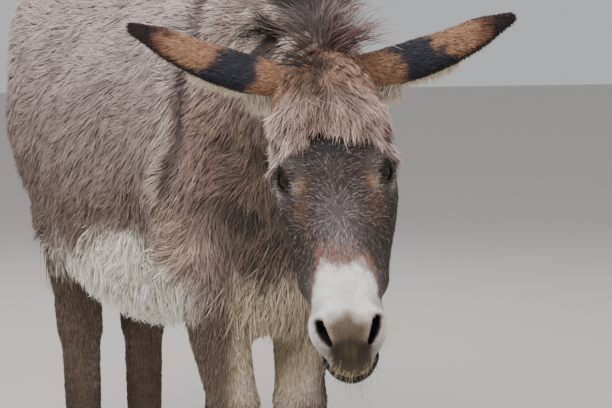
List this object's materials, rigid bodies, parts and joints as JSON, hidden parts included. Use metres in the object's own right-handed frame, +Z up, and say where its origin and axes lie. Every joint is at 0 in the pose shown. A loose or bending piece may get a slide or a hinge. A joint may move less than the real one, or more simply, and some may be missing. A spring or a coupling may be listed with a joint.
{
  "type": "standing donkey",
  "caption": "Life-size still model of a standing woolly donkey, head lowered and turned to its right, long ears held out sideways; it stands on its hooves",
  "frame": {"origin": "the middle of the outline's footprint, on the floor the hooves stand on", "axes": "+Z up; the animal faces -Y, with its left side towards +X; the head is turned towards -X"},
  "size_m": [0.5424, 1.6104, 1.1997],
  "materials": {
    "coat_body": "grey-brown woolly coat",
    "coat_face": "short dark grey-brown coat",
    "coat_muzzle": "short off-white coat",
    "coat_dark": "dark brown long hair",
    "horn": "worn horn",
    "eye": "wet gloss"
  },
  "bodies": {
    "root": {"trunk": "coat_body", "neck": "coat_body", "foreleg_left": "coat_body", "foreleg_right": "coat_body", "hindleg_left": "coat_body", "hindleg_right": "coat_body", "forelock": "coat_body", "tail_dock": "coat_body", "head": "coat_face", "lower_jaw": "coat_face", "muzzle": "coat_muzzle", "ear_left": "coat_dark", "ear_right": "coat_dark", "mane": "coat_dark", "tail_tuft": "coat_dark", "hoof_fore_left": "horn", "hoof_fore_right": "horn", "hoof_hind_left": "horn", "hoof_hind_right": "horn", "eye_left": "eye", "eye_right": "eye"}
  },
  "joints": []
}
